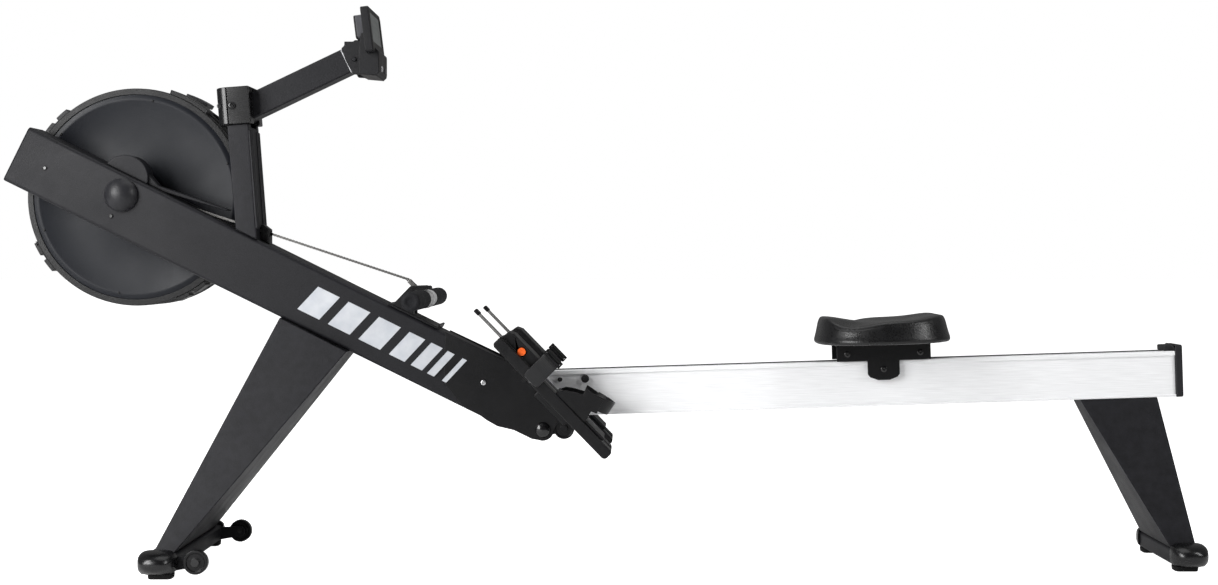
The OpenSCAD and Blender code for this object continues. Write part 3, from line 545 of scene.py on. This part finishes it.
def along(points, spacing):
    """Points at even spacing along a polyline in X and Z."""
    out, left = [points[0]], spacing
    for a, b in zip(points, points[1:]):
        step = b - a
        length = step.length
        done = 0.0
        while length - done >= left:
            done += left
            out.append(a + step * (done / length))
            left = spacing
        left -= length - done
    return out


def arc(centre, radius, a0, a1, steps=40):
    angles = [math.radians(a0 + (a1 - a0) * i / steps) for i in range(steps + 1)]
    return [centre + Vector((radius * math.cos(a), 0, radius * math.sin(a))) for a in angles]


def roller_chain(name, body, path):
    """Plates in pairs, inner and outer by turns, with a roller and a pin at each joint."""
    shape = Shape()
    pins = along(path, CHAIN_PITCH)
    for index, (a, b) in enumerate(zip(pins, pins[1:])):
        way = (b - a).normalized()
        up = Vector((-way.z, 0, way.x))
        outline = []
        for centre, turn in ((a, 90), (b, -90)):
            for i in range(5):
                angle = math.radians(turn + 45 * i)
                p = (centre + way * (PLATE_RADIUS * math.cos(angle))
                     + up * (PLATE_RADIUS * math.sin(angle)))
                outline.append((p.x, p.z))
            waist = (a + b) / 2 + up * (0.0019 * (-1 if turn > 0 else 1))
            outline.append((waist.x, waist.z))
        outer = index % 2
        near, far = (0.0026, 0.0034) if outer else (0.0018, 0.0025)
        shape.prism(outline, near, far).prism(outline, -far, -near)
    for p in pins:
        shape.turn([(0.0016, -0.00178), (0.0016, 0.00178)], p, 8)
        shape.turn([(0.0009, -0.0037), (0.0009, 0.0037)], p, 6)
    return shape.done(name, body, "chain_steel")


chain_lo, chain_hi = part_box("drive_chain")
HALF_PLATE = PLATE_RADIUS * math.cos(CHAIN_SLOPE)
chain_start = Vector((chain_lo[0] + 0.0012, 0, chain_hi[2] - HALF_PLATE))
chain_end = Vector((chain_hi[0] - 0.0012, 0, chain_lo[2] + HALF_PLATE))
pull_chain = roller_chain("drive_chain_links", None, [chain_start, chain_end])
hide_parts("drive_chain")
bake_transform(pull_chain)

axle = JOINT_AT["flywheel_spin"]
pulley = JOINT_AT["return_pulley_spin"]
slope_deg, beam_deg = math.degrees(CHAIN_SLOPE), math.degrees(BEAM_SLOPE)
chain_route = [chain_start] + arc(axle, PITCH_RADIUS, 90 - slope_deg, 270 - beam_deg)
chain_route += arc(pulley, PITCH_RADIUS, 90 - beam_deg, -90 - beam_deg)
chain_route.append(BEAM @ Vector((0.640, 0, CHAIN_ROW)))
hidden_chain = roller_chain("inner_chain_links", "frame", chain_route)
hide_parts("inner_chain")
anchor = Shape(BEAM).box((0.628, -ANCHOR_HALF, CHAIN_ROW - ANCHOR_HALF),
                         (0.641, ANCHOR_HALF, CHAIN_ROW + ANCHOR_HALF))
anchor.done("chain_anchor", "frame", "chain_steel", bevel=0.0015)


# ------------------------------------------------------------------ handle

def grips():
    """Foam sleeves: slightly uneven along their length, rolled over an end plug."""
    centre = Vector([(a + b) / 2 for a, b in zip(*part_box("handle_bar"))])
    for name, side in SIDES.items():
        profile = [(0.0114, 0.0604), (0.0176, 0.0604), (0.0187, 0.0612), (0.019, 0.0628)]
        for i in range(26):
            y = 0.066 + i * 0.0068
            uneven = 0.00018 * math.sin(i * 1.9) + 0.00012 * math.sin(i * 4.3 + 1)
            profile.append((0.019 + uneven, y))
        profile += [(0.0188, 0.2448), (0.018, 0.2475), (0.0162, 0.2493), (0.0125, 0.25),
                    (0.009, 0.2496), (0.0078, 0.2478), (0.003, 0.2475)]
        shape = Shape().turn([(r, y * side) for r, y in profile], centre, 48)
        grip = shape.done("grip_foam_" + name, "handle", "grip_foam", sharp=60)
        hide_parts("grip_" + name)


grips()


# ------------------------------------------------------------------ foot straps

STRAP_MID = 0.105
STRAP_HALF = 0.019
STRAP_BASE = 0.024


def strap_path(steps=28):
    """The strap's middle line in the board's Y and Z: up one side, over the arch, down."""
    half, rise = 0.0569, 0.0435
    path = [(-half, STRAP_BASE - 0.022), (-half, STRAP_BASE - 0.012)]
    for i in range(steps + 1):
        a = math.pi * (1 - i / steps)
        path.append((half * math.cos(a), STRAP_BASE + rise * math.sin(a)))
    return path + [(half, STRAP_BASE - 0.012), (half, STRAP_BASE - 0.022)]


def strap_ribbon(shape, path, thickness, x_of):
    """A flat strap along a path, with thin rolled edges."""
    rings = []
    for i, (y, z) in enumerate(path):
        a, b = path[max(0, i - 1)], path[min(len(path) - 1, i + 1)]
        way = Vector((b[0] - a[0], b[1] - a[1])).normalized()
        out = Vector((-way.y, way.x))
        middle, half = x_of(i / (len(path) - 1))
        ring = []
        for u, v in ((-1, -0.3), (-0.9, -0.5), (0.9, -0.5), (1, -0.3), (1, 0.3), (0.9, 0.5),
                     (0.3, 0.56), (-0.3, 0.56), (-0.9, 0.5), (-1, 0.3)):
            ring.append((middle + u * half, y + out.x * v * thickness,
                         z + out.y * v * thickness))
        rings.append(ring)
    shape.skin(rings)


def foot_straps():
    for name, side in SIDES.items():
        shape = Shape(board(side))
        strap_ribbon(shape, strap_path(), 0.0028, lambda t: (STRAP_MID, STRAP_HALF))
        # The free tail lies over the strap, past the buckle
        tail = [(y * 1.035, STRAP_BASE + (z - STRAP_BASE) * 1.045)
                for y, z in strap_path()[12:24]]
        strap_ribbon(shape, tail, 0.0022,
                     lambda t: (STRAP_MID, STRAP_HALF - 0.002 - 0.004 * t))
        strap = shape.done("strap_webbing_" + name, "frame", "strap_webbing", sharp=70)
        subdivide(strap)
        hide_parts("foot_strap_" + name)
        tilt = Matrix.Rotation(math.radians(28), 4, "X")
        buckle_at = Matrix.Translation((STRAP_MID, -0.033, 0.0665)) @ tilt
        buckle = Shape(board(side) @ buckle_at)
        for y in (-0.009, 0.006):
            buckle.box((-0.0215, y, -0.002), (0.0215, y + 0.003, 0.0036))
        for x in (-0.022, 0.019):
            buckle.box((x, -0.009, -0.002), (x + 0.003, 0.009, 0.0034))
        buckle.box((-0.017, -0.0035, 0.0015), (0.017, 0.0075, 0.0044))
        buckle.done("strap_buckle_" + name, "frame", "black_plastic", bevel=0.0008)


foot_straps()


# ------------------------------------------------------------------ footboards

def board_details():
    """Strip tips, tread ribs and the raised size marks on the sliding strips."""
    for name, side in SIDES.items():
        tip = Shape(board(side))
        tip.box((-0.0755, -0.0132, 0.0168), (-0.062, 0.0132, 0.0246))
        tip.done("strip_tip_" + name, "foot_slide_" + name, "black_plastic",
                 bevel=0.002, segments=3)
        # Tread ribs across the board, between the strap and its lower end
        ribs = Shape(board(side))
        for i in range(5):
            x = 0.2925 + i * 0.0052
            for y0, y1 in ((-0.051, -0.015), (0.015, 0.051)):
                ribs.box((x, y0, 0.0225), (x + 0.0022, y1, 0.02385))
        ribs.done("tread_ribs_" + name, "frame", "board_plastic", bevel=0.0003)
        marks = Shape(board(side))
        for i in range(9):
            x = -0.052 + i * 0.0068
            marks.box((x, -0.006, 0.0228), (x + 0.0008, 0.006, 0.02315))
        marks.done("strip_marks_" + name, "foot_slide_" + name, "black_plastic")


board_details()


# ------------------------------------------------------------------ fan

def fan_cover():
    """Pressed cover: a flat middle, one shallow step and a rolled edge, on four pillars."""
    lo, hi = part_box("fan_front_cover")
    near, far = 0.0612, hi[1]
    radius = (hi[0] - lo[0]) / 2
    profile = [(0.022, far), (0.022, near + 0.0004), (0.023, near), (0.058, near),
               (0.061, near - 0.0012), (0.066, near - 0.0012), (0.069, near), (0.2, near),
               (0.2035, near - 0.0016), (0.209, near - 0.0016), (0.2125, near - 0.0004),
               (radius, near + 0.0009), (radius, far)]
    shape = Shape().turn(profile, (axle.x, 0, axle.z), 160, looped=True)
    for a in (30, 150, 205, 335):
        turn = math.radians(a) - BEAM_SLOPE
        shape.turn([(0.008, 0.045), (0.008, near + 0.0005)],
                   (axle.x + 0.044 * math.cos(turn), 0, axle.z + 0.044 * math.sin(turn)), 20)
    cover = shape.done("fan_cover_pressed", "frame", "grey_cover", sharp=50)
    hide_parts("fan_front_cover")
    bolts = Shape()
    for i in range(6):
        a = math.radians(20 + 60 * i)
        at = (axle.x + 0.2065 * math.cos(a), near - 0.0016, axle.z + 0.2065 * math.sin(a))
        bolts.turn([(0.0028, 0.0005), (0.0028, -0.0008), (0.0018, -0.0014), (0.0006, -0.0014)],
                   at, 16)
    bolts.done("cover_screws", "frame", "black_steel")


def rim_bands():
    """Raised bands and a joint line around the cage's drum."""
    radius = 0.229
    shape = Shape()
    for y, width, lift in ((0.0635, 0.0035, 0.0012), (0.0705, 0.002, 0.0018),
                           (0.0985, 0.002, 0.0012), (0.127, 0.0025, 0.0016),
                           (0.184, 0.003, 0.0014)):
        shape.turn([(radius - 0.001, y), (radius + lift, y + 0.0004),
                    (radius + lift, y + width - 0.0004), (radius - 0.001, y + width)],
                   (axle.x, 0, axle.z), 160, looped=True)
    shape.done("rim_bands", "frame", "grey_plastic", sharp=50)


fan_cover()
rim_bands()


# ------------------------------------------------------------------ feet

CAP_STEPS = 56


def foot_caps():
    """Moulded end caps: square at the crossbar, running out into a smooth round nose."""
    shape = Shape()
    for mid, length, width in ((-0.870, 0.075, 0.480), (1.187, 0.074, 0.310)):
        for side in SIDES.values():
            rings = []
            # The first ring is drawn in a little, for a rounded edge at the crossbar
            for t in (0.0, 0.0, 0.1, 0.25, 0.4, 0.55, 0.68, 0.79, 0.88, 0.945, 0.985, 0.998):
                swell = (1 - t ** 2.6) ** (1 / 2.6)
                power = 2 / (3.6 - 1.5 * min(1, max(0, (t - 0.35) / 0.45)))
                inset = 1.0 if rings else 0.97
                height = 0.0245 - 0.003 * t
                ring = []
                for i in range(CAP_STEPS):
                    a = 2 * math.pi * i / CAP_STEPS
                    c, s = math.cos(a), math.sin(a)
                    across = math.copysign(abs(c) ** power, c)
                    up = math.copysign(abs(s) ** power, s)
                    ring.append((mid + across * length / 2 * swell * inset,
                                 side * (width / 2 - 0.046 + 0.0455 * t),
                                 0.0315 + up * height * swell * inset))
                rings.append(ring)
            shape.skin(rings)
    caps = shape.done("foot_caps_moulded", "frame", "gloss_black_plastic", sharp=80)
    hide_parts("foot_end_caps")


foot_caps()


# ------------------------------------------------------------------ post, cap and arm

# The rear face of the post: half the post's length behind its middle line
POST_FOOT = (-0.729 + 0.022, 0, 0.680)
POST_FACE = Matrix.Translation(POST_FOOT) @ Matrix.Rotation(-POST_LEAN, 4, "Y")
RIB_TOP = 0.212
RIB_FOOT = 0.012


def post_ribs():
    """The post's rear face: rounded ribs with grooves between, below the cap."""
    shape = Shape(POST_FACE)
    for y, half in ((-0.0465, 0.003), (-0.034, 0.0035), (-0.0225, 0.0035),
                    (0.0225, 0.0035), (0.034, 0.0035), (0.0465, 0.003)):
        outline = []
        for i in range(9):
            a = math.pi * i / 8
            outline.append((y + half * math.cos(a), RIB_TOP + half * math.sin(a)))
        outline += [(y - half, RIB_FOOT), (y + half, RIB_FOOT)]
        shape.plate(outline, -0.0015, 0.0018)
    shape.done("post_ribs", "frame", "grey_trim", bevel=0.0008)


def socket_screw(shape, at, radius, depth, side, hole=0.45):
    """A screw head with a round socket, facing out along Y."""
    x, y, z = at
    shape.turn([(radius, y), (radius, y + side * depth * 0.75), (radius * 0.85, y + side * depth),
                (radius * hole, y + side * depth), (radius * hole * 0.85, y + side * depth * 0.35),
                (0.0002, y + side * depth * 0.3)], (x, 0, z), 28)


def screws():
    """Socket heads in the cheeks, the beam and the post cap, and a thin dark strip under the hook.
    """
    cheek = Shape()
    beam = Shape()
    dark = Shape()
    for side in SIDES.values():
        socket_screw(cheek, (-0.241, side * 0.0508, 0.375), 0.0054, 0.0022, side)
        for x, z in ((-0.757, 0.9435), (-0.783, 0.943)):
            y = side * (0.0605 if x > -0.77 else 0.0545)
            socket_screw(dark, (x, y, z), 0.0052, 0.0012, side, 0.6)
        for x, z in ((-1.144, 0.816), (-1.008, 0.717)):
            socket_screw(beam, (x, side * 0.0452, z), 0.0046, 0.0016, side, 0.62)
    cheek.done("cheek_screws", "frame", "bearing_steel")
    beam.done("beam_screws", "frame", "black_steel")
    dark.done("cap_screws", "frame", "bolt_steel")
    # A thin dark strip fills the gap under the near hook, cut to the path that the handle's sleeve
    # leaves by
    outline = [(-0.3862, 0.5692), (-0.3862, 0.5625), (-0.366, 0.5647),
               (-0.354, 0.5662), (-0.354, 0.5692)]
    gap_strip = Shape().prism(outline, -0.048, -0.016)
    gap_strip.done("hook_gap_strip", "frame", "rubber")


def arm_edges():
    """A thin bright edge on the arm's end, where the tube is cut."""
    slope = math.radians(25.6)
    arm = Matrix.Translation(JOINT_AT["arm_swing"]) @ Matrix.Rotation(-slope, 4, "Y")
    shape = Shape(arm)
    outer = rounded_outline(0.0506, 0.0526, 0.0043, (0, -0.013))
    inner = rounded_outline(0.0470, 0.0490, 0.0030, (0, -0.013))
    rings = [[(x, y, z) for y, z in ring] for x, ring in
             ((0.2470, outer), (0.2487, outer), (0.2487, inner), (0.2470, inner))]
    shape.skin(rings, looped=True)
    shape.done("arm_end_edge", "monitor_arm", "light_grey_plastic")


post_ribs()
screws()
arm_edges()


# ------------------------------------------------------------------ monitor

def monitor_details():
    """Housing skins, the display's back and frame, and plain strokes on the screen."""
    grey = moulded("monitor_grey", (0.02, 0.0185, 0.0185), 0.5, 600, 0.0002)
    pale = moulded("monitor_back_grey", (0.05, 0.05, 0.056), 0.5, 600, 0.0002)
    front = Shape()
    front.plate(rounded_outline(0.112, 0.043, 0.006, (0, 1.0335)), -0.4565, -0.4542)
    front.done("housing_front", "monitor", "monitor_plastic", grey, bevel=0.0008)
    bottom = Shape()
    bottom.prism([(-0.494, 1.0085), (-0.460, 1.0055), (-0.4602, 1.0045), (-0.4942, 1.0075)],
                 -0.055, 0.055)
    bottom.done("housing_underside", "monitor", "monitor_plastic", grey)
    back = Shape(SCREEN)
    outline = rounded_outline(0.1086, 0.0486, 0.0063, (0, 0.058))
    small = rounded_outline(0.100, 0.040, 0.0063, (0, 0.058))
    back.skin([[(-0.0172, y, z) for y, z in outline], [(-0.0322, y, z) for y, z in outline],
               [(-0.0365, y, z) for y, z in small]])
    back.done("display_back", "monitor", "monitor_plastic", pale, bevel=0.0012)
    # Raised frame around the window, and the window's dark border
    bezel = Shape(SCREEN)
    rings = []
    for x, (w, h, r) in ((0.0, (0.160, 0.086, 0.006)), (0.0012, (0.158, 0.084, 0.006)),
                         (0.0012, (0.138, 0.066, 0.004)), (-0.0006, (0.132, 0.060, 0.003))):
        centre = (0, 0.0455 if w > 0.15 else 0.054)
        rings.append([(x, y, z) for y, z in rounded_outline(w, h, r, centre)])
    bezel.skin(rings, looped=True)
    bezel.done("display_frame", "monitor", "monitor_plastic", grey, bevel=0.0004)
    strokes = Shape(SCREEN)
    dark = screen_ink()
    for row, z in enumerate((0.070, 0.057, 0.044)):
        for col in range(4 if row else 3):
            y = -0.048 + col * (0.026 if row else 0.034)
            wide = 0.016 if row else 0.024
            for k in (0, 1, 2):
                strokes.box((-0.00098, y, z - 0.003 + k * 0.003),
                            (-0.0009, y + wide, z - 0.0022 + k * 0.003))
    strokes.done("display_segments", "monitor", "screen_glass", dark)


def screen_ink():
    g = Graph("display_ink")
    tint = g.mix(g.ramp(g.noise(300, 2), 0.3, 0.7), (0.05, 0.06, 0.055), (0.08, 0.09, 0.085))
    return g.finish(tint, 0.4)


monitor_details()


# ------------------------------------------------------------------ seat carriage

def carriage_bolts():
    """Bolt heads at the ends of the seat rollers' axles."""
    shape = Shape()
    for name in ("seat_roller_front_spin", "seat_roller_rear_spin", "seat_guide_roller_spin"):
        at = JOINT_AT[name]
        for side in SIDES.values():
            socket_screw(shape, (at.x, side * 0.0452, at.z), 0.0062, 0.0028, side)
    shape.done("carriage_bolts", "seat", "bolt_steel")


carriage_bolts()

# Dark steel track along the rail's top, between the rollers
rail_track = Shape(RAIL).box((0.006, -0.012, 0.0935), (1.343, 0.012, 0.0948))
rail_track.done("rail_track", "frame", "black_steel", bevel=0.0003)


# ------------------------------------------------------------------ beam graphics

def beam_bars():
    """Plain slanted bars, shrinking down the beam, printed on both sides."""
    g = Graph("printed_grey")
    tint = g.mix(g.ramp(g.noise(40, 4), 0.35, 0.7), (0.42, 0.44, 0.475), (0.5, 0.515, 0.54))
    ink = g.finish(tint, g.ramp(g.noise(500, 2), 0.3, 0.7, 0.35, 0.5),
                   g.bump(g.noise(420, 3), 0.0003, 0.4))
    shape = Shape(BEAM)
    # Each bar's place down the beam, its width and half its height
    bars = ((0.668, 0.050, 0.030), (0.738, 0.050, 0.030), (0.808, 0.050, 0.030),
            (0.878, 0.036, 0.030), (0.928, 0.026, 0.030), (0.966, 0.016, 0.030),
            (1.000, 0.010, 0.030))
    slant = 0.018
    for u, wide, half in bars:
        # The last bars lie on the cheeks, which stand proud of the beam
        depth = 0.0492 if u > 0.95 else 0.0452
        outline = [(u - slant / 2, -half), (u + wide - slant / 2, -half),
                   (u + wide + slant / 2, half), (u + slant / 2, half)]
        for side in SIDES.values():
            y0, y1 = sorted((side * (depth - 0.0004), side * (depth + 0.0001)))
            shape.prism(outline, y0, y1)
    shape.done("beam_bars", "frame", "charcoal_powder_coat", ink)


beam_bars()


# ------------------------------------------------------------------ floor and light

FLOOR_HALF = 40


def flat_plane(name, half, z, material):
    mesh = bpy.data.meshes.new(name)
    corners = [(-half, -half, z), (half, -half, z), (half, half, z), (-half, half, z)]
    mesh.from_pydata(corners, [], [(0, 1, 2, 3)])
    obj = bpy.data.objects.new(name, mesh)
    bpy.context.collection.objects.link(obj)
    paint(obj, material)


floor_graph = Graph("floor")
floor_tint = floor_graph.mix(floor_graph.ramp(floor_graph.noise(2, 3), 0.3, 0.7),
                             (0.93, 0.93, 0.93), (0.95, 0.95, 0.95))
# The floor glows for the camera alone, so it joins the white wall without a horizon
floor_seen = floor_graph.add("ShaderNodeLightPath").outputs["Is Camera Ray"]
floor_glow = floor_graph.ramp(floor_seen, 0, 1, 0.03, 1.1)
floor_graph.link(floor_glow, floor_graph.shader.inputs["Emission Strength"])
floor_material = floor_graph.finish(floor_tint, 0.7, None, Specular_IOR_Level=0.1,
                                    Emission_Color=(1, 1, 1, 1))
flat_plane("floor", FLOOR_HALF, 0, floor_material)

world = bpy.data.worlds.new("studio")
bpy.context.scene.world = world
world.use_nodes = True
nodes, links = world.node_tree.nodes, world.node_tree.links
sky = nodes.new("ShaderNodeTexCoord")
axes = nodes.new("ShaderNodeSeparateXYZ")
fade = nodes.new("ShaderNodeMapRange")
for key, value in {"From Min": -0.2, "From Max": 0.6, "To Min": 0.1, "To Max": 0.22}.items():
    fade.inputs[key].default_value = value
links.new(sky.outputs["Generated"], axes.inputs[0])
links.new(axes.outputs["Y"], fade.inputs["Value"])
# The camera sees a white wall; surfaces see a dim room, so glancing faces stay dark
seen = nodes.new("ShaderNodeLightPath")
wall = nodes.new("ShaderNodeMath")
wall.operation = "MAXIMUM"
links.new(seen.outputs["Is Camera Ray"], wall.inputs[0])
links.new(fade.outputs["Result"], wall.inputs[1])
links.new(wall.outputs[0], nodes["Background"].inputs["Color"])


def area_light(name, at, look_at, size, power, size_y=None):
    data = bpy.data.lights.new(name, "AREA")
    data.shape = "RECTANGLE"
    data.size = size
    data.size_y = size_y or size
    data.energy = power
    obj = bpy.data.objects.new(name, data)
    bpy.context.collection.objects.link(obj)
    obj.location = at
    obj.rotation_euler = (Vector(look_at) - Vector(at)).to_track_quat("-Z", "Y").to_euler()


area_light("key", (-3.0, -2.1, 1.9), (-0.8, 0, 0.6), 1.2, 125, 2.6)
area_light("strip_left", (-2.3, -3.0, 1.3), (-0.7, 0, 0.7), 0.6, 52, 1.7)
area_light("strip_right", (3.2, -1.9, 2.3), (0.6, 0, 0.4), 0.6, 50, 2.4)
area_light("top", (0, 0.2, 3.2), (0, 0, 0.4), 2.6, 30)
